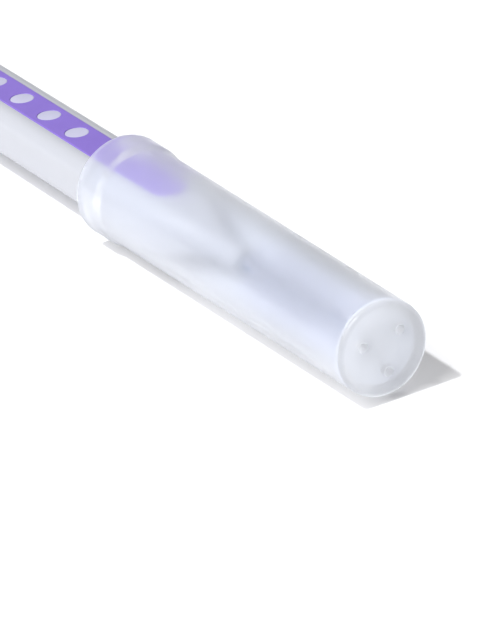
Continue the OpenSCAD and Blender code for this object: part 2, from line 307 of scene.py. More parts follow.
def unit(vectors):
    """The vectors divided by their lengths."""
    return vectors / np.linalg.norm(vectors, axis=-1, keepdims=True)


def turned(profile, columns, start=0.0):
    """A profile of (x, radius) pairs carried round the X axis: y = radius cos a, z = radius sin a."""
    x, r = np.asarray(profile).T[:, :, None, None]
    around = r * circle(full_turn(columns, start))
    return np.concatenate([np.broadcast_to(x, (len(x), columns, 1)), around], -1)


def tube(path, out, radius, sides):
    """A circle carried along a path: each ring is the point plus radius (cos a O + sin a B).

    O is the outward direction squared to the tangent T, and B is T cross O.
    """
    tangent = unit(np.gradient(path, axis=0))
    out = unit(out - (out * tangent).sum(1, keepdims=True) * tangent)
    side = np.cross(tangent, out)
    a = full_turn(sides)[:, None]
    return path[:, None] + radius * (np.cos(a) * out[:, None] + np.sin(a) * side[:, None])


def capped(grid):
    """A closed tube's grid with a ring of one repeated point at each end, which the merge makes a pole."""
    ends = [np.broadcast_to(row.mean(0), row.shape)[None] for row in (grid[0], grid[-1])]
    return np.concatenate([ends[0], grid, ends[1]])


# Materials


def linear(code):
    """sRGB hex code to linear RGBA."""
    c = np.array([int(code.lstrip("#")[i : i + 2], 16) for i in (0, 2, 4)]) / 255
    c = np.where(c <= 0.04045, c / 12.92, ((c + 0.055) / 1.055) ** 2.4)
    return (*c.tolist(), 1.0)


def add_node(tree, kind, links=(), **settings):
    """Adds a node, sets its sockets or properties by name, and links (own socket, other node, its socket).

    A linked socket is given by its name, or by its number where several have one name.
    """
    made = tree.nodes.new(kind)
    for name, value in settings.items():
        key = name.replace("_", " ")
        if key in made.inputs:
            made.inputs[key].default_value = value
        else:
            setattr(made, name, value)
    for socket, other, output in links:
        tree.links.new(other.outputs[output], made.inputs[socket])
    return made


def material(name, grain, blotches, **settings):
    """A material with one shader, whose inputs are set by name. Returns it, its node tree and the shader.

    grain is (size across, depth) of a fine uneven surface. blotches are (size across, two values or two
    colours, an input): soft noise that drives the input between the two.
    """
    made = bpy.data.materials.new(name)
    made.use_nodes = True
    tree = made.node_tree
    shader = tree.nodes["Principled BSDF"]
    for key, value in settings.items():
        shader.inputs[key.replace("_", " ")].default_value = value
    place = [("Vector", add_node(tree, "ShaderNodeTexCoord"), "Object")]
    noise = add_node(tree, "ShaderNodeTexNoise", place, Scale=1 / grain[0], Detail=2.0, Roughness=0.55)
    bump = add_node(tree, "ShaderNodeBump", [("Height", noise, "Fac")], Strength=1.0, Distance=grain[1])
    tree.links.new(bump.outputs["Normal"], shader.inputs["Normal"])
    size, ends, driven = blotches
    noise = add_node(tree, "ShaderNodeTexNoise", place, Scale=1 / size, Detail=3.0)
    ramp = add_node(tree, "ShaderNodeValToRGB", [("Fac", noise, "Fac")])
    for element, position, end in zip(ramp.color_ramp.elements, (0.35, 0.65), ends):
        element.position = position
        element.color = end if np.ndim(end) else (end, end, end, 1.0)
    tree.links.new(ramp.outputs["Color"], shader.inputs[driven])
    return made, tree, shader


def tinted(code, factor):
    """A linear colour from a hex code, made lighter or darker."""
    r, g, b, a = linear(code)
    return (min(1, r * factor), min(1, g * factor), min(1, b * factor), a)


def shades(code, spread):
    """Two linear colours from a hex code: darker and lighter than it by the same share."""
    return tinted(code, 1 - spread), tinted(code, 1 + spread)


def let_lamps_in(tree, shader, share, glow=None):
    """Lets lamps and soft light pass a face straight, so that they reach what lies inside.

    share is (what the front of a face lets in, what its back lets out). glow is (a shader, its share
    on the front, its share on the back) and gives soft light that meets the wall a part of its own
    scattered light, so that the wall lights what lies inside as a lampshade does.
    """
    side = add_node(tree, "ShaderNodeNewGeometry")
    facing = [("Value", side, "Backfacing")]
    lets = add_node(tree, "ShaderNodeMapRange", facing, To_Min=share[0], To_Max=share[1])
    clear = add_node(tree, "ShaderNodeBsdfTransparent", [("Color", lets, "Result")])
    soft = clear
    if glow:
        lit = add_node(tree, "ShaderNodeMapRange", facing, To_Min=glow[1], To_Max=glow[2])
        soft = add_node(tree, "ShaderNodeMixShader", [("Fac", lit, "Result"), (1, clear, 0), (2, glow[0], 0)])
    ray = add_node(tree, "ShaderNodeLightPath")
    for kind, way in (("Is Diffuse Ray", soft), ("Is Shadow Ray", clear)):
        shader = add_node(tree, "ShaderNodeMixShader", [("Fac", ray, kind), (1, shader, 0), (2, way, 0)])
    tree.links.new(shader.outputs[0], tree.nodes["Material Output"].inputs["Surface"])


def milky(name, code, roughness, clearness, haze, share, glow=None, edge=0.0, **finish):
    """A translucent plastic: clear enough to see through, with some light scattered in its wall.

    haze is (the kind of scattered light, its share on a face's front, its share on a face's back).
    edge is added to that share where the view grazes the wall, because it runs farther through it.
    share and the two shares of glow are those of let_lamps_in.
    """
    finish |= {"Base_Color": linear(code), "IOR": 1.49, "Transmission_Weight": clearness}
    blotches = (3 * MM, (0.92 * roughness, 1.08 * roughness), "Roughness")
    made, tree, shader = material(name, (0.3 * MM, 0.0006 * MM), blotches, **finish)
    kind, front, back = haze
    scatter = add_node(tree, kind, Color=linear(code))
    side = add_node(tree, "ShaderNodeNewGeometry")
    part = add_node(tree, "ShaderNodeMapRange", [("Value", side, "Backfacing")], To_Min=front, To_Max=back)
    graze = add_node(tree, "ShaderNodeLayerWeight", Blend=0.5)
    longer = add_node(tree, "ShaderNodeMapRange", [("Value", graze, "Facing")], To_Max=edge)
    longer.interpolation_type = "SMOOTHSTEP"
    shares = [(0, part, "Result"), (1, longer, "Result")]
    total = add_node(tree, "ShaderNodeMath", shares, operation="ADD", use_clamp=True)
    wall = add_node(tree, "ShaderNodeMixShader", [("Fac", total, "Value"), (1, shader, 0), (2, scatter, 0)])
    let_lamps_in(tree, wall, share, (scatter, *glow) if glow else None)
    return made


# Forms of the handle


def section(h, s):
    """Half width, half height and corner radius of the handle at the distance s from its tail.

    The tail has the shoulder's section and eases to the grip's, which eases to the shoulder's and
    then to the round neck. Both ends draw in by a quarter round.
    """
    total = h.neck_x - h.tail_x
    shoulder_s = total - h.neck_l - h.taper_l
    waist_s = shoulder_s - h.waist_l
    swell_s = h.tail_round_l + h.swell_l
    shoulder = np.array([h.shoulder_w / 2, h.shoulder_h / 2, h.shoulder_r])
    grip = np.array([h.grip_w / 2, h.grip_h / 2, h.grip_r])
    neck = np.array([1, 1, h.neck_round]) * h.neck_d / 2
    s = np.asarray(s, float)[:, None]
    back = shoulder + (grip - shoulder) * ease((s - h.tail_round_l) / (swell_s - h.tail_round_l))
    front = grip + (shoulder - grip) * ease((s - waist_s) / h.waist_l)
    body = np.where(s < swell_s, back, front)
    body = body + (neck - body) * ease((s - shoulder_s) / h.taper_l)
    drawn = h.tail_round_in * fall(1 - s / h.tail_round_l) + h.neck_edge * fall(1 - (total - s) / h.neck_edge)
    return body - drawn * np.concatenate([np.ones_like(s), np.ones_like(s), body[:, 2:] / body[:, 1:2]], 1)


def section_rings(h, s, flat_shares, side_shares, corner=12):
    """Rings of rounded rectangles: a corner arc on each quarter, and between the arcs points on the flats."""
    half_w, half_h, r = section(h, s).T[:, :, None]
    w, d = half_w - r, half_h - r
    a = np.linspace(0, np.pi / 2, corner + 1)[None]
    flat, side = flat_shares[None], side_shares[None]
    parts = []
    for quarter, (sy, sz) in enumerate([(1, 1), (-1, 1), (-1, -1), (1, -1)]):
        arc = a + quarter * np.pi / 2
        parts.append((sy * w + r * np.cos(arc), sz * d + r * np.sin(arc)))
        if quarter % 2 == 0:
            parts.append((sy * w * flat, sz * (d + r) + 0 * flat))
        else:
            parts.append((sy * (w + r) + 0 * side, sz * d * side))
    y = np.concatenate([p[0] for p in parts], 1)
    z = np.concatenate([p[1] for p in parts], 1)
    x = np.broadcast_to((h.tail_x + np.asarray(s))[:, None], y.shape)
    return np.stack([x, y, h.axis_z + z], -1)


def slot_inside(p, x, y, inset):
    """Distance inside the strip's outline, a long slot with round ends, drawn in by inset."""
    r = p.width / 2
    past = np.maximum(0, np.maximum(p.rear_x + r - x, x - (p.front_x - r)))
    return r - inset - np.hypot(past, y)


def scaled_ring(ring, centre, share):
    """A ring drawn in towards its centre line."""
    return centre + (ring - centre) * np.array([1, share, share])


def long_hole(ring, centre, radius, apart):
    """A ring made a slot: a circle's two halves set apart along Y, where the wire's two ends lie."""
    out = unit(ring[:, 1:] - centre[1:])
    y = radius * out[:, 0] + apart * np.sign(np.round(out[:, 0], 6))
    return centre + np.stack([0 * y, y, radius * out[:, 1]], -1)


def handle_grid(h, p, apart):
    """The handle's skin from the middle of its tail to the bottom of the wire's hole.

    Rings of the section follow each other along X. Where the top lies inside the strip's outline, it
    drops into the pocket by a smooth step. apart is the distance of the wire's two ends from the axis.
    """
    total = h.neck_x - h.tail_x
    rear, front = p.rear_x - h.tail_x, p.front_x - h.tail_x
    # The pocket's wall stands a little inside the strip's outline, where the strip covers it.
    wall_in, wall_l = 0.12 * MM, 0.05 * MM
    # The rings lie close together round both ends of the pocket.
    margin = 0.3 * MM
    end_l = p.width / 2 + margin
    coarse, close, fine = 0.5 * MM, 0.22 * MM, 0.09 * MM
    stops = (h.tail_round_l, rear - margin, rear + end_l, front - end_l, front + margin, total - h.neck_edge)
    steps = (coarse, fine, coarse, fine, close)
    stretches = [spaced(*ends)[:-1] for ends in zip(stops, stops[1:], steps)]
    tail_s = h.tail_round_l * (1 - np.cos(np.linspace(0, np.pi / 2, 15)))[:-1]
    s = np.concatenate([tail_s, *stretches, total - h.neck_edge * (1 - round_share(7))])
    wall_share = (p.width / 2 - wall_in) / (h.grip_w / 2 - h.grip_r)
    flat = wall_share * np.array([1.035, 1.0, 0.975, 0.95, 0.9, 0.75, 0.5, 0.25])
    flat = flat[flat < 0.995]
    flat = np.concatenate([flat, [0.0], -flat[::-1]])
    side = np.linspace(1, -1, 9)[1:-1]
    grid = section_rings(h, s, flat, side)
    top = grid[..., 2] > h.axis_z
    inside = slot_inside(p, grid[..., 0], grid[..., 1], wall_in)
    drop = (p.depth + h.shoulder_h / 2 - h.grip_h / 2) * ease(inside / wall_l)
    grid[..., 2] -= np.where(top, drop, 0)
    centre = np.array([h.tail_x, 0, h.axis_z])
    tail = [scaled_ring(grid[0], centre, share)[None] for share in (0, 0.35, 0.7, 0.9)]
    # The hole's rings: depth, radius, and 1 for a slot or 0 for a round one.
    hole_r, lip = h.hole_d / 2, h.hole_lip
    hole = []
    for depth, r, long in (
        (0, hole_r + apart + 1.6 * lip, 0),
        (0, hole_r + lip, 1),
        (0.4 * lip, hole_r + 0.35 * lip, 1),
        (1.2 * lip, hole_r, 1),
        (h.hole_depth / 2, hole_r, 1),
        (h.hole_depth, hole_r, 1),
        (h.hole_depth, 0, 0),
    ):
        centre = np.array([h.neck_x - depth, 0, h.axis_z])
        hole.append(long_hole(grid[-1], centre, r, long * apart)[None])
    return np.concatenate(tail + [grid] + hole)


def dot_places(p):
    """Where the dots stand along X, from the first one back to the last."""
    return [p.front_x - p.dot_lead - k * p.dot_pitch for k in range(p.dot_count)]


def post_grid(h, p, x):
    """A white dot: a round post, as a profile turned about an upright line at x.

    Its top is a soft dome that rises and falls along the brush with the handle's own top.
    """
    clear, below_strip, below_pocket = 0.008 * MM, 0.03 * MM, 0.02 * MM
    edge, dome = 0.07 * MM, 0.05 * MM
    half_h = section(h, [x - h.tail_x])[0, 1]
    top = h.axis_z + half_h + p.proud - below_strip
    low = h.axis_z + h.grip_h / 2 - p.depth - below_pocket
    r = p.dot_d / 2 - clear
    bend = round_share(5)
    radius = np.concatenate([[0, r, r], r - edge * fall(bend), r * np.array([0.8, 0.55, 0.3, 0.0])])
    crown = dome * (1 - (radius[-5:] / r) ** 2)
    height = np.concatenate([[low, low, top - edge], top - edge * (1 - bend), top + crown[1:] - crown[0]])
    a = full_turn(56)
    along = radius[:, None] * np.cos(a)
    lift = section(h, np.ravel(x + along) - h.tail_x)[:, 1].reshape(along.shape) - half_h
    return np.stack([x + along, radius[:, None] * np.sin(a), height[:, None] + lift], -1)


# Forms of the strip


def strip_height(h, p, x, y, dots):
    """Height of the strip's top: the handle's top raised by proud, less a quarter round at rim and holes."""
    s = np.ravel(x) - h.tail_x
    base = h.axis_z + section(h, s)[:, 1].reshape(np.shape(x)) + p.proud
    rim = p.edge * fall(1 - slot_inside(p, x, y, 0) / p.edge)
    gap = np.min([np.hypot(x - d, y) - p.dot_d / 2 for d in dots], axis=0)
    return base - rim - p.hole_edge * fall(1 - gap / p.hole_edge)


def dot_cell(p, columns, rim, rear, front):
    """Rings of (x, y) from a dot's hole at the origin out to a rectangle from -rear to front.

    A ring's points lie on straight lines from the hole's centre to the points of the outline. With less
    room at the rear than in front, the strip's round end, centred at -rear, closes the rear.
    """
    w, r = p.width / 2, p.dot_d / 2
    along = spaced(-rear, front, 0.25 * MM)[1:-1]
    round_end = w * circle(np.linspace(np.pi / 2, 3 * np.pi / 2, END_POINTS)) - np.array([rear, 0])
    straight = np.stack([np.full(len(columns), -rear), columns[::-1]], -1)
    sides = (
        np.stack([np.full(len(columns), front), columns], -1),
        np.stack([along[::-1], np.full(len(along), w)], -1),
        round_end if rear < front else straight,
        np.stack([along, np.full(len(along), -w)], -1),
    )
    outer = np.concatenate(sides)
    inner = unit(outer) * r
    from_hole = p.hole_edge * np.concatenate([1 - round_share(4)[::-1], [2, 3, 4]])
    near_hole = inner * (1 + from_hole[:, None, None] / r)
    near_rim = outer * (1 - rim[:0:-1, None, None] / np.maximum(np.abs(outer).max(1, keepdims=True), w))
    share = np.array([0.2, 0.4, 0.6, 0.8])[:, None, None]
    middle = near_hole[-1] + (near_rim[0] - near_hole[-1]) * share
    return np.concatenate([near_hole, middle, near_rim, outer[None]])


def strip_patches(p, dots):
    """The strip's outline cut into patches, each a grid of (x, y) and whether its columns close.

    Round each dot a patch runs from its hole out to a rectangle, or to the strip's rear end where that
    is nearer. A stretch without dots is a plain grid, and the end after it is half a disc in rings.
    """
    w, half = p.width / 2, p.dot_pitch / 2
    rim = p.edge * (1 - round_share(5))[::-1]
    across = np.concatenate([spaced(0, w - p.edge, 0.22 * MM)[:-1], w - rim[::-1]])
    columns = np.concatenate([-across[:0:-1], across])
    rear, front = p.rear_x + w, p.front_x - w
    patches = []
    for d in dots:
        cell = dot_cell(p, columns, rim, min(half, d - rear), half)
        patches.append((cell + np.array([d, 0]), True))
    half_round = circle(np.linspace(-np.pi / 2, np.pi / 2, END_POINTS))
    for low, high, end, sign in ((rear, min(dots) - half, rear, -1), (max(dots) + half, front, front, 1)):
        if high > low:
            x = spaced(low, high, 0.4 * MM)
            patches.append((np.stack(np.broadcast_arrays(x[:, None], columns[None]), -1), False))
            disc = across[:, None, None] * half_round * np.array([sign, 1])
            patches.append((disc + np.array([end, 0]), False))
    return patches


# Forms of the wire


def leg_angle(h, w, x):
    """Turn of the twist at x, which starts at the neck's end."""
    return np.maximum(0, 2 * np.pi * (x - h.neck_x) / w.pitch)


def outward(angle):
    """The direction (0, cos angle, sin angle)."""
    return np.stack([0 * angle, np.cos(angle), np.sin(angle)], -1)


def wire_places(w):
    """The leg's distance from the axis, and the places along X of the twist's end and the bend's centre."""
    leg = w.steel_d / 2 + w.coat + w.gap / 2
    bend_x = w.tip_x - w.steel_d / 2 - w.bend_r
    return leg, bend_x - w.bend_r, bend_x


def leg_path(h, w):
    """One leg: straight inside the neck, then a helix of radius leg round the axis."""
    leg, flare_x, _ = wire_places(w)
    straight, twist = 3 * MM, 0.1 * MM
    x = np.concatenate([spaced(w.root_x, h.neck_x, straight)[:-1], spaced(h.neck_x, flare_x, twist)])
    out = outward(leg_angle(h, w, x))
    return np.stack([x, 0 * x, 0 * x + h.axis_z], -1) + leg * out, out


def half_turned(h, points):
    """The points turned by half a turn about the axis: y and z change sides."""
    return np.array([0, 0, 2 * h.axis_z]) + points * HALF_TURN


def wire_path(h, w):
    """The whole wire: one leg, its flare, the half circle at the tip, and back along the other leg.

    The flare takes the leg out to the bend's radius by a smooth step.
    """
    leg, flare_x, bend_x = wire_places(w)
    path, out = leg_path(h, w)
    end = out[-1]
    t = np.linspace(0, 1, 8)[1:-1]
    flare = np.stack([flare_x + (bend_x - flare_x) * t, 0 * t, 0 * t + h.axis_z], -1)
    flare += (leg + (w.bend_r - leg) * ease(t))[:, None] * end
    a = np.linspace(0, np.pi / 2, 14)[:, None]
    bend_out = np.sin(a) * np.array([1.0, 0, 0]) + np.cos(a) * end
    bend = np.array([bend_x, 0, h.axis_z]) + w.bend_r * bend_out
    path = np.concatenate([path, flare, bend])
    out = np.concatenate([out, np.broadcast_to(end, flare.shape), bend_out])
    path = np.concatenate([path, half_turned(h, path[-2::-1])])
    return path, np.concatenate([out, (out * HALF_TURN)[-2::-1]])


def coat_grid(w, path, out, sides=16):
    """The coat on one leg as a closed skin: out along its outside, over its rim, and back along its inside.

    The rim stands a quarter of a step past the path's end, at the middle of the coat's thickness.
    """
    full, bare = w.steel_d / 2 + w.coat, w.steel_d / 2 + w.coat_clear
    outer = tube(path, out, full, sides)
    past = path[-2:] + (path[-1] - path[-2]) * 0.25
    rim = tube(past, out[-2:], (full + bare) / 2, sides)[-1:]
    inner = tube(path, out, bare, sides)[::-1]
    return np.concatenate([outer, rim, inner, outer[:1]])


# Forms of the bristles


def filament_rings(h, w, b, seed=11):
    """All filaments at once, as rings[filament, place along it, corner of its section].

    A filament lies between the two legs and leaves them on both sides. Each half starts square to
    the legs, turns at once to its own angle within a half circle, leans a little along the brush, and
    is cut to the brush's radius: its point is the running sum of its direction.
    """
    rng = np.random.default_rng(seed)
    n = b.count
    margin, inset, uneven = 0.05 * MM, 0.01 * MM, 0.12 * MM
    fan_most, bow_spread, lean_spread = np.radians(92), np.radians(6), np.radians(4)
    # A half has turned to its own angle at this share of its length.
    turned_share = 0.14
    # The tuft's last filaments lean outwards along the brush, and all lean a little towards the neck.
    end_lean, even_lean = 0.16, -0.03
    spot = (np.arange(n) + rng.uniform(0.1, 0.9, n)) / n
    x0 = b.start_x + margin + (b.end_x - b.start_x - 2 * margin) * spot
    theta = leg_angle(h, w, x0)
    radius = b.brush_d / 2 - inset
    t = np.array([0, 0.05, 0.12, 0.3, 0.65, 1.0])
    halves = []
    for sign in (1, -1):
        fan = fan_most * rng.uniform(-1, 1, n)
        bow = bow_spread * rng.normal(size=n)
        lean = end_lean * (2 * spot - 1) ** 9 + even_lean + lean_spread * rng.normal(size=n)
        angle = fan[:, None] * ease(t / turned_share) + bow[:, None] * t**2
        step = np.stack([np.sin(lean)[:, None] * t**0.5, np.cos(angle), np.sin(angle)], -1)
        run = (step[:, 1:] + step[:, :-1]) / 2 * np.diff(t)[:, None]
        walk = np.concatenate([np.zeros((n, 1, 3)), np.cumsum(run, 1)], 1)
        reach = np.hypot(walk[:, -1, 1], walk[:, -1, 2])
        trim = radius - uneven * rng.uniform(0, 1, n) ** 2
        walk *= (trim / reach)[:, None, None]
        walk[..., 1:] *= sign
        halves.append(walk)
    local = np.concatenate([halves[1][:, :0:-1], halves[0]], 1)
    c, s = np.cos(theta)[:, None], np.sin(theta)[:, None]
    y = -local[..., 1] * s + local[..., 2] * c
    z = local[..., 1] * c + local[..., 2] * s
    low, high = b.start_x + b.filament_d / 2, b.end_x - b.filament_d / 2
    centre = np.stack([np.clip(x0[:, None] + local[..., 0], low, high), y, h.axis_z + z], -1)
    tangent = unit(np.gradient(centre, axis=1))
    side = unit(np.cross(tangent, np.array([1.0, 0, 0])))
    up = np.cross(side, tangent)
    a = (np.arange(4) * np.pi / 2)[None, None, :, None]
    offset = np.cos(a) * side[:, :, None] + np.sin(a) * up[:, :, None]
    return centre[:, :, None] + b.filament_d / 2 * offset


def filament_net(rings):
    """Points and faces of the filaments: side quads on every one and a quad on each of its ends."""
    n, places, sides = rings.shape[:3]
    base = np.arange(n)[:, None, None] * places * sides
    i = np.arange(places - 1)[None, :, None] * sides
    j = np.arange(sides)[None, None, :]
    k = (j + 1) % sides
    quads = np.stack([base + i + j, base + i + sides + j, base + i + sides + k, base + i + k], -1)
    first = base[:, 0] + np.array([[0, 1, 2, 3]])
    last = base[:, 0] + (places - 1) * sides + np.array([[3, 2, 1, 0]])
    return rings.reshape(-1, 3), np.concatenate([quads.reshape(-1, 4), first, last])


# Forms of the cap


def cap_outer(c):
    """Outside of the cap from its closed end to its mouth, as (distance from the end, radius).

    The radius grows by the draft and rises to the collar by a smooth step. The closed end's edge and
    the mouth's lip are quarter rounds. The edge comes first and on its own.
    """
    total = c.end_x - c.mouth_x
    tube_r = c.bore_r + c.wall
    bend = np.linspace(0, np.pi / 2, 13)
    mouth_r = tube_r + c.draft * total + c.collar_out
    edge = np.stack([c.edge_r * (1 - np.cos(bend)), tube_r - c.edge_r * (1 - np.sin(bend))], -1)
    d = spaced(c.edge_r, total - c.collar_l, 0.8 * MM)[1:-1]
    body = np.stack([d, tube_r + c.draft * d], -1)
    t = np.linspace(0, 1, 13)
    d = total - c.collar_l + c.slope_l * t
    slope = np.stack([d, tube_r + c.draft * d + c.collar_out * ease(t)], -1)
    d = spaced(total - c.collar_l + c.slope_l, total - c.lip_r, 0.5 * MM)[1:-1]
    t = (d - d[0]) / (total - c.lip_r - d[0])
    collar = np.stack([d, slope[-1, 1] + (mouth_r - slope[-1, 1]) * t], -1)
    lip = np.stack([total - c.lip_r * (1 - np.sin(bend)), mouth_r - c.lip_r * (1 - np.cos(bend))], -1)
    return edge, np.concatenate([edge[-1:], body, slope, collar, lip])


def cap_inner(c):
    """Inside of the cap from its mouth to its inner end face: a drafted bore between two quarter rounds."""
    total = c.end_x - c.mouth_x
    widest, narrowest = c.bore_r + c.draft * total, c.bore_r + c.draft * c.end_t
    bend = np.linspace(0, np.pi / 2, 7)
    near, far = 1 - np.cos(bend), 1 - np.sin(bend)
    rim = np.stack([total - c.mouth_r * near, widest + c.mouth_r * far], -1)
    d = spaced(total - c.mouth_r, c.end_t + c.corner_r, 0.8 * MM)[1:-1]
    body = np.stack([d, c.bore_r + c.draft * d], -1)
    corner = np.stack([c.end_t + c.corner_r * far, narrowest - c.corner_r * near], -1)
    return np.concatenate([rim, body, corner])


def vent_steps(c):
    """How far the first rings round an air hole lie from its wall, out past its rounded rim."""
    return c.vent_roll * np.array([0, 2, 5, 9, 14]) / 9


def end_face(c, rim_r, columns):
    """A disc with three holes, as closed grids of (y, z): two plain ones, and one round each hole.

    The plain ones are rings in the middle and outside. A hole's grid runs along straight lines from the
    hole to a third of the ring between them, whose sides are radial lines.
    """
    low, high = 0.75 * MM, c.vent_ring_r + 0.95 * MM
    hole_r = c.vent_d / 2
    start = c.vent_turn - np.pi / 3
    a = full_turn(columns, start)
    inner_r = low * np.array([0, 0.4, 0.75, 1])
    outer_r = high + (rim_r - high) * np.linspace(0, 1, 5)
    plain = [radii[:, None, None] * circle(a) for radii in (inner_r, outer_r)]
    side = np.linspace(low, high, 15)[1:-1, None]
    holed = []
    for k in range(3):
        begin = start + 2 * np.pi / 3 * k
        arc = circle(np.linspace(begin, begin + 2 * np.pi / 3, columns // 3 + 1))
        outer = np.concatenate([high * arc, side[::-1] * arc[-1], low * arc[::-1], side * arc[0]])
        middle = c.vent_ring_r * circle(begin + np.pi / 3)
        ray = outer - middle
        hole = unit(ray) * hole_r
        near = hole * (1 + vent_steps(c)[:, None, None] / hole_r)
        rest = near[-1] + (ray - near[-1]) * np.array([0.25, 0.5, 0.75, 1])[:, None, None]
        holed.append(middle + np.concatenate([near, rest]))
    return plain, holed


def cap_net(c, axis_z, columns=192):
    """The whole cap: outside, lip, bore, both faces of its closed end and the walls of its air holes.

    The profiles are turned about the axis. Both faces roll into each hole by a quarter round. Slot 0 is
    the outside, 1 the inside and 2 the closed end.
    """
    net = Net()
    shift = np.array([0, 0, axis_z])
    edge, outer = cap_outer(c)
    inner = cap_inner(c)
    for slot, profile in enumerate((outer, np.concatenate([outer[-1:], inner]), edge)):
        profile = np.stack([c.end_x - profile[:, 0], profile[:, 1]], -1)
        net.surface(turned(profile, columns, c.vent_turn - np.pi / 3) + shift, closed=True, slot=slot)
    rolled = c.vent_roll * fall(1 - vent_steps(c) / c.vent_roll)
    rims = []
    for x, rim_r, inward, slot in ((c.end_x, edge[0, 1], -1, 2), (c.end_x - c.end_t, inner[-1, 1], 1, 1)):
        face = end_face(c, rim_r, columns)
        plain, holed = ([np.insert(patch, 0, x, axis=-1) + shift for patch in patches] for patches in face)
        for grid in holed:
            grid[: len(rolled), :, 0] += inward * rolled[:, None]
        for grid in plain + holed:
            net.surface(grid, closed=True, slot=slot)
        rims.append([grid[0] for grid in holed])
    for near, far in zip(*rims):
        net.surface(np.stack([near, far]), closed=True, slot=2)
    return net


# Operators


class BRUSH_OT_handle(bpy.types.Operator):
    """White handle: a rounded section carried along the brush, with the strip's pocket and its dots"""

    bl_idname = "brush.handle"
    bl_label = "Handle"

    def execute(self, context):
        h, p, w = context.scene.brush_handle, context.scene.brush_strip, context.scene.brush_wire
        # Moulded polypropylene: milky white, softly lit from within, with the fine bloom of a polished
        # mould that has worn a little, so its highlights are broad and quiet.
        made, _, _ = material(
            "Moulded white polypropylene",
            (0.35 * MM, 0.004 * MM),
            (4 * MM, (0.3, 0.4), "Roughness"),
            Base_Color=linear(h.white),
            IOR=1.49,
            Subsurface_Weight=0.18,
            Subsurface_Radius=(1.0, 1.0, 1.1),
            Subsurface_Scale=0.9 * MM,
        )
        # The dots are posts of the same moulding, and the elastomer round them lends them its tint.
        tinted_white, _, _ = material(
            "Moulded white polypropylene in the strip",
            (0.35 * MM, 0.004 * MM),
            (2 * MM, shades(h.dot_white, 0.03), "Base Color"),
            Roughness=0.36,
            IOR=1.49,
        )
        net = Net()
        net.surface(handle_grid(h, p, wire_places(w)[0]), closed=True)
        for x in dot_places(p):
            net.surface(post_grid(h, p, x), closed=True, slot=1)
        piece = net.piece("handle_body", [made, tinted_white])
        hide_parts("handle")
        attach(piece, "brush")
        return {"FINISHED"}


class BRUSH_OT_strip(bpy.types.Operator):
    """Soft purple strip let into the grip, with rolled edges and round holes for the dots"""

    bl_idname = "brush.strip"
    bl_label = "Grip strip"

    def execute(self, context):
        h, p = context.scene.brush_handle, context.scene.brush_strip
        # Thermoplastic elastomer moulded on to the handle: soft to the touch, satin, with a fine
        # etched grain that spreads its highlight.
        made, _, _ = material(
            "Moulded purple elastomer",
            (0.12 * MM, 0.005 * MM),
            (3 * MM, shades(p.purple, 0.03), "Base Color"),
            Roughness=0.45,
            IOR=1.5,
            Subsurface_Weight=0.1,
            Subsurface_Radius=(1.0, 0.8, 1.2),
            Subsurface_Scale=0.4 * MM,
        )
        dots = dot_places(p)
        net = Net()
        for patch, closed in strip_patches(p, dots):
            z = strip_height(h, p, patch[..., 0], patch[..., 1], dots)
            net.surface(np.concatenate([patch, z[..., None]], -1), closed=closed)
        piece = net.piece("grip_strip_skin", [made], 50.0, p.proud + p.sunk)
        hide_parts("grip_strip")
        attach(piece, "brush")
        return {"FINISHED"}


class BRUSH_OT_wire(bpy.types.Operator):
    """Steel wire bent double and twisted, and the blue coat on its two legs"""

    bl_idname = "brush.wire"
    bl_label = "Wire"

    def execute(self, context):
        h, w = context.scene.brush_handle, context.scene.brush_wire
        # Drawn stainless steel: bright, with faint lines along the wire that stretch its highlight.
        steel, _, _ = material(
            "Drawn stainless steel",
            (0.03 * MM, 0.0015 * MM),
            (0.2 * MM, (0.16, 0.28), "Roughness"),
            Base_Color=linear(w.steel),
            Metallic=1.0,
        )
        # Nylon coat melted on to the wire: smooth, glossy and coloured all through.
        coat, _, _ = material(
            "Blue nylon coat",
            (0.1 * MM, 0.003 * MM),
            (0.8 * MM, shades(w.blue, 0.15), "Base Color"),
            Roughness=0.25,
            IOR=1.53,
        )
        path, out = wire_path(h, w)
        net = Net()
        net.surface(capped(tube(path, out, w.steel_d / 2, 14)), closed=True)
        piece = net.piece("steel_wire", [steel])
        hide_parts("core_wire")
        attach(piece, "brush")
        path, out = leg_path(h, w)
        net = Net()
        net.surface(coat_grid(w, path, out), closed=True)
        net.surface(coat_grid(w, half_turned(h, path), out * HALF_TURN), closed=True)
        piece = net.piece("wire_coat", [coat])
        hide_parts("wire_coating")
        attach(piece, "brush")
        return {"FINISHED"}


class BRUSH_OT_bristles(bpy.types.Operator):
    """Nylon filaments held between the legs of the wire, fanned out and cut to a cylinder"""

    bl_idname = "brush.bristles"
    bl_label = "Bristles"

    def execute(self, context):
        h, w, b = context.scene.brush_handle, context.scene.brush_wire, context.scene.brush_bristles
        # Drawn nylon filament: clear and slightly milky, so each one glints along its length and
        # light passes through the whole tuft.
        made, tree, shader = material(
            "Drawn clear nylon",
            (0.2 * MM, 0.001 * MM),
            (0.4 * MM, shades(b.white, 0.08), "Base Color"),
            Roughness=0.3,
            IOR=1.53,
            Transmission_Weight=0.15,
        )
        let_lamps_in(tree, shader, (0.91, 0.91))
        # Filaments cross, and each keeps its own points, so this mesh isn't merged as a Net's is.
        points, faces = filament_net(filament_rings(h, w, b))
        mesh = bpy.data.meshes.new("bristle_filaments")
        mesh.from_pydata(points.tolist(), [], faces.tolist())
        mesh.shade_smooth()
        mesh.set_sharp_from_angle(angle=np.radians(75))
        mesh.materials.append(made)
        piece = add_object("bristle_filaments", mesh)
        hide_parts("bristles")
        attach(piece, "brush")
        return {"FINISHED"}


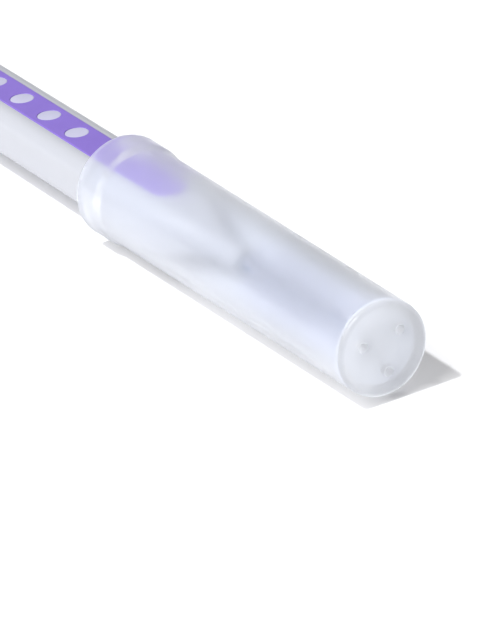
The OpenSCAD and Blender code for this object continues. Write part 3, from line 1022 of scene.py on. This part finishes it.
class BRUSH_OT_cap(bpy.types.Operator):
    """Frosted cap: a drafted tube with a closed end, three air holes and a collar at its mouth"""

    bl_idname = "brush.cap"
    bl_label = "Cap"

    def execute(self, context):
        h, c = context.scene.brush_handle, context.scene.brush_cap
        through, back = "ShaderNodeBsdfTranslucent", "ShaderNodeBsdfDiffuse"
        # Natural polypropylene moulded against an etched cavity: it lets light through and blurs what
        # lies behind it the more, the farther it lies.
        outside = milky(
            "Etched natural polypropylene",
            c.frost,
            roughness=0.305,
            clearness=0.94,
            haze=(through, 0.1, 0.13),
            share=(0.22, 0.7),
            glow=(0.32, 0.5),
            edge=0.25,
        )
        # The same moulding where it lay on the polished core. Looked at from inside the bore it is a
        # soft white, so the tube's far side is a quiet ground for the wire and the bristles.
        # Its colour is the bluer, darker inner frost: painted bluish shade in the bore, not a colour of its
        # own.
        inside = milky(
            "Polished natural polypropylene",
            c.inner_frost_painted_shade,
            roughness=0.1,
            clearness=0.96,
            haze=(back, 1.0, 0.0),
            share=(1.0, 1.0),
        )
        # The closed end is the thickest wall, so it is the milkiest. Its skin is smooth and keeps a
        # small highlight at the edge.
        thick = milky(
            "Thick natural polypropylene",
            c.frost,
            roughness=0.32,
            clearness=0.7,
            haze=(through, 0.78, 0.78),
            share=(0.22, 0.66),
            glow=(0.3, 0.34),
            Coat_Weight=0.6,
            Coat_Roughness=0.1,
        )
        piece = cap_net(c, h.axis_z).piece("frosted_cap", [outside, inside, thick])
        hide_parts("cap")
        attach(piece, "cap")
        return {"FINISHED"}


def camera_frame(stage):
    """The camera's right, up and backward directions from azimuth, elevation and roll."""
    a, e, k = stage.azimuth, stage.elevation, stage.roll
    back = np.array([np.sin(a) * np.cos(e), -np.cos(a) * np.cos(e), np.sin(e)])
    level = np.array([np.cos(a), np.sin(a), 0.0])
    rise = np.cross(back, level)
    return np.cos(k) * level + np.sin(k) * rise, np.cos(k) * rise - np.sin(k) * level, back


def add_lamp(name, kind, direction, distance, **settings):
    """A lamp that shines at the origin, from a direction and a distance."""
    data = bpy.data.lights.new(name, kind)
    for key, value in settings.items():
        setattr(data, key, value)
    lamp = add_object(name, data)
    away = Vector(direction).normalized()
    lamp.location = away * distance
    lamp.rotation_mode = "QUATERNION"
    lamp.rotation_quaternion = away.to_track_quat("Z", "Y")
    return lamp


class BRUSH_OT_stage(bpy.types.Operator):
    """Camera at the photograph's angle, pale floor and soft studio light"""

    bl_idname = "brush.stage"
    bl_label = "Stage"

    def execute(self, context):
        scene, stage = context.scene, context.scene.brush_stage
        right, up, back = camera_frame(stage)
        # The closed end's centre lies this far right of and below the picture's middle, in metres.
        end = np.array([scene.brush_cap.end_x, 0, scene.brush_handle.axis_z])
        across, down = (np.array(stage.end_px) - np.array(IMAGE_SIZE) / 2) / stage.scale * MM
        place = end + stage.distance * back - across * right + down * up
        data = bpy.data.cameras.new("Camera")
        # The sensor's width spans the picture's longer side, which is its height.
        data.lens = stage.scale * stage.distance / MM / IMAGE_SIZE[1] * SENSOR
        data.sensor_width = SENSOR
        data.clip_start, data.clip_end = 0.01, 20
        scene.camera = add_object("Camera", data)
        scene.camera.matrix_world = Matrix(
            [[right[i], up[i], back[i], place[i]] for i in range(3)] + [[0, 0, 0, 1]]
        )

        # Painted board: pale and matt, with the very faint clouding of a rolled coat and its fine nap.
        board, _, _ = material(
            "Matt white board",
            (0.8 * MM, 0.004 * MM),
            (25 * MM, (tinted(stage.floor, 0.985), linear(stage.floor)), "Base Color"),
            Roughness=0.8,
            Specular_IOR_Level=0.0,
        )
        rings = stage.floor_r * np.array([0, 0.1, 1])[:, None, None] * circle(full_turn(64))
        net = Net()
        net.surface(np.insert(rings, 2, 0, axis=-1), closed=True)
        floor = net.piece("floor", [board])

        scene.world = bpy.data.worlds.new("Studio")
        scene.world.use_nodes = True
        room = scene.world.node_tree.nodes["Background"].inputs
        room["Color"].default_value = linear("#FFFFFF")
        room["Strength"].default_value = stage.sky
        scene.view_settings.view_transform = "Standard"
        # The directions that the sun and the side light come from.
        high, low = (0.0, -0.473, 0.881), (0.12, -0.76, 0.64)
        add_lamp("Sun", "SUN", high, 0, energy=stage.sun, angle=np.radians(3))
        side = add_lamp("Side light", "AREA", low, 0.87, shape="SQUARE", size=0.6, energy=stage.side)
        side.visible_camera = False
        return {"FINISHED"}


class BRUSH_PT_panel(bpy.types.Panel):
    """Lists the operators, each with its sizes"""

    bl_idname = "BRUSH_PT_panel"
    bl_label = "Interdental brush"
    bl_space_type = "VIEW_3D"
    bl_region_type = "UI"
    bl_category = "Brush"

    def draw(self, context):
        for group in GROUPS:
            box = self.layout.box()
            box.operator(group.replace("_", "."))
            values = getattr(context.scene, group)
            for name in values.__annotations__:
                box.prop(values, name)


# The scene's property groups. The panel shows each with its operator: brush_handle with brush.handle.
GROUPS = {
    "brush_stage": StageSizes,
    "brush_handle": HandleSizes,
    "brush_strip": StripSizes,
    "brush_wire": WireSizes,
    "brush_bristles": BristleSizes,
    "brush_cap": CapSizes,
}
CLASSES = (
    *GROUPS.values(),
    BRUSH_OT_handle,
    BRUSH_OT_strip,
    BRUSH_OT_wire,
    BRUSH_OT_bristles,
    BRUSH_OT_cap,
    BRUSH_OT_stage,
    BRUSH_PT_panel,
)


def register():
    for cls in CLASSES:
        bpy.utils.register_class(cls)
    for name, group in GROUPS.items():
        setattr(bpy.types.Scene, name, PointerProperty(type=group))


def unregister():
    for name in GROUPS:
        delattr(bpy.types.Scene, name)
    for cls in reversed(CLASSES):
        bpy.utils.unregister_class(cls)


def main():
    """Builds the stage and every piece."""
    register()
    bpy.ops.brush.stage()
    bpy.ops.brush.handle()
    bpy.ops.brush.strip()
    bpy.ops.brush.wire()
    bpy.ops.brush.bristles()
    bpy.ops.brush.cap()


if __name__ == "__main__":
    main()
